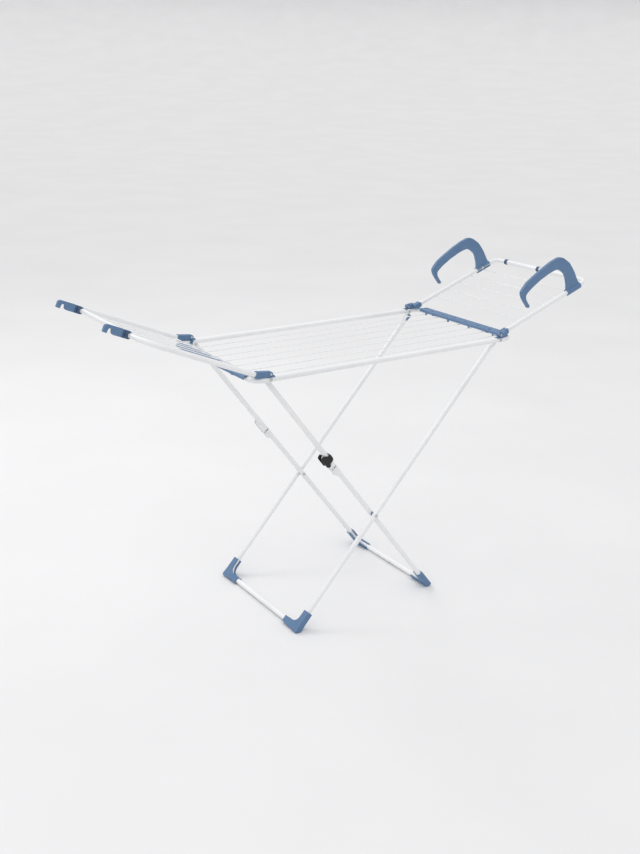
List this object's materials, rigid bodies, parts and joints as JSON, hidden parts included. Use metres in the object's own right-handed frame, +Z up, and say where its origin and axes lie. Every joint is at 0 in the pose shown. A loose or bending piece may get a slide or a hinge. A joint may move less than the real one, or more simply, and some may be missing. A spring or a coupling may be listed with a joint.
{
  "type": "clothes drying rack",
  "caption": "Folding clothes drying rack: wired panel on crossed leg frames with knee joints, two folding wings, hooks and plastic shoes.",
  "frame": {"origin": "on the floor, at the middle of the whole rack's length and width", "axes": "+X along the rack from the small tip hooks to the wing with the big hooks, +Y across it, +Z up"},
  "size_m": [1.8944, 0.5402, 1.1868],
  "materials": {
    "white_paint": "white powder coat, smooth satin",
    "blue_plastic": "moulded blue plastic, fine matt grain",
    "dark_blue_plastic": "moulded dark blue plastic, fine matt grain",
    "black_plastic": "moulded black plastic, satin",
    "rivet_steel": "zinc plated, slightly dull"
  },
  "bodies": {
    "panel": {"panel_tube_near": "white_paint", "panel_tube_far": "white_paint", "panel_stubs": "white_paint", "panel_bar_left": "white_paint", "panel_bar_right": "white_paint", "panel_corners": "white_paint", "panel_splices": "rivet_steel", "panel_wires": "white_paint", "wire_cover_left": "blue_plastic", "wire_cover_right": "blue_plastic", "hinge_clip_left_near": "blue_plastic", "hinge_clip_left_far": "blue_plastic", "hinge_clip_right_near": "blue_plastic", "hinge_clip_right_far": "blue_plastic", "hinge_pins": "rivet_steel", "corner_rivets": "rivet_steel", "inner_leg_spacers": "blue_plastic"},
    "left_wing": {"left_wing_tube_near": "white_paint", "left_wing_tube_far": "white_paint", "left_wing_bends": "white_paint", "left_wing_bar": "white_paint", "left_wing_wires": "white_paint", "left_wing_cross_wire": "white_paint", "left_fork_near": "blue_plastic", "left_fork_far": "blue_plastic", "tip_clamps": "dark_blue_plastic", "tip_hooks": "blue_plastic"},
    "right_wing": {"right_wing_tube_near": "white_paint", "right_wing_tube_far": "white_paint", "right_wing_bends": "white_paint", "right_wing_bar": "white_paint", "right_wing_wires": "white_paint", "right_fork_near": "blue_plastic", "right_fork_far": "blue_plastic", "end_bar_collars": "dark_blue_plastic", "end_bar_sleeves": "white_paint"},
    "hook_near": {"big_hook_near": "blue_plastic"},
    "hook_far": {"big_hook_far": "blue_plastic"},
    "outer_legs": {"outer_leg_near": "white_paint", "outer_leg_far": "white_paint", "outer_foot_bar": "white_paint", "outer_foot_bends": "white_paint", "outer_shoe_near": "blue_plastic", "outer_shoe_far": "blue_plastic", "outer_leg_wedge": "blue_plastic", "cross_rivets": "rivet_steel", "cross_spacers": "blue_plastic"},
    "inner_arms": {"inner_arm_near": "white_paint", "inner_arm_far": "white_paint", "knee_channels": "white_paint", "knee_pins": "rivet_steel", "leg_clip": "black_plastic"},
    "inner_legs": {"inner_leg_near": "white_paint", "inner_leg_far": "white_paint", "inner_foot_bar": "white_paint", "inner_foot_bends": "white_paint", "inner_shoe_near": "blue_plastic", "inner_shoe_far": "blue_plastic", "knee_tongues": "white_paint", "inner_rivets": "rivet_steel"}
  },
  "joints": [
    {"name": "leg_fold", "type": "hinge", "parent": "panel", "child": "outer_legs", "pos_m": [0.50165, 0, 0.922], "axis": [0, 1, 0], "range_deg": [0, 43.61]},
    {"name": "inner_arm_fold", "type": "hinge", "parent": "panel", "child": "inner_arms", "pos_m": [-0.44836, 0, 0.922], "axis": [0, -1, 0], "range_deg": [0, 52.48]},
    {"name": "knee_fold", "type": "hinge", "parent": "inner_arms", "child": "inner_legs", "pos_m": [-0.17988, 0, 0.55838], "axis": [0, 1, 0], "range_deg": [0, 172.72]},
    {"name": "left_wing_hinge", "type": "hinge", "parent": "panel", "child": "left_wing", "pos_m": [-0.44836, 0, 0.9395], "axis": [0, 1, 0], "range_deg": [0, 155]},
    {"name": "right_wing_hinge", "type": "hinge", "parent": "panel", "child": "right_wing", "pos_m": [0.50165, 0, 0.9395], "axis": [0, -1, 0], "range_deg": [0, 160]},
    {"name": "near_hook_turn", "type": "hinge", "parent": "right_wing", "child": "hook_near", "pos_m": [0.86906, -0.2435, 1.06373], "axis": [-0.9397, 0, -0.342], "range_deg": [0, 90]},
    {"name": "far_hook_turn", "type": "hinge", "parent": "right_wing", "child": "hook_far", "pos_m": [0.86906, 0.2435, 1.06373], "axis": [0.9397, 0, 0.342], "range_deg": [0, 90]}
  ],
  "couplings": [
    {"joint": "inner_arm_fold", "follows": "leg_fold", "ratio": 1.2032},
    {"joint": "knee_fold", "follows": "leg_fold", "ratio": 3.9601}
  ]
}
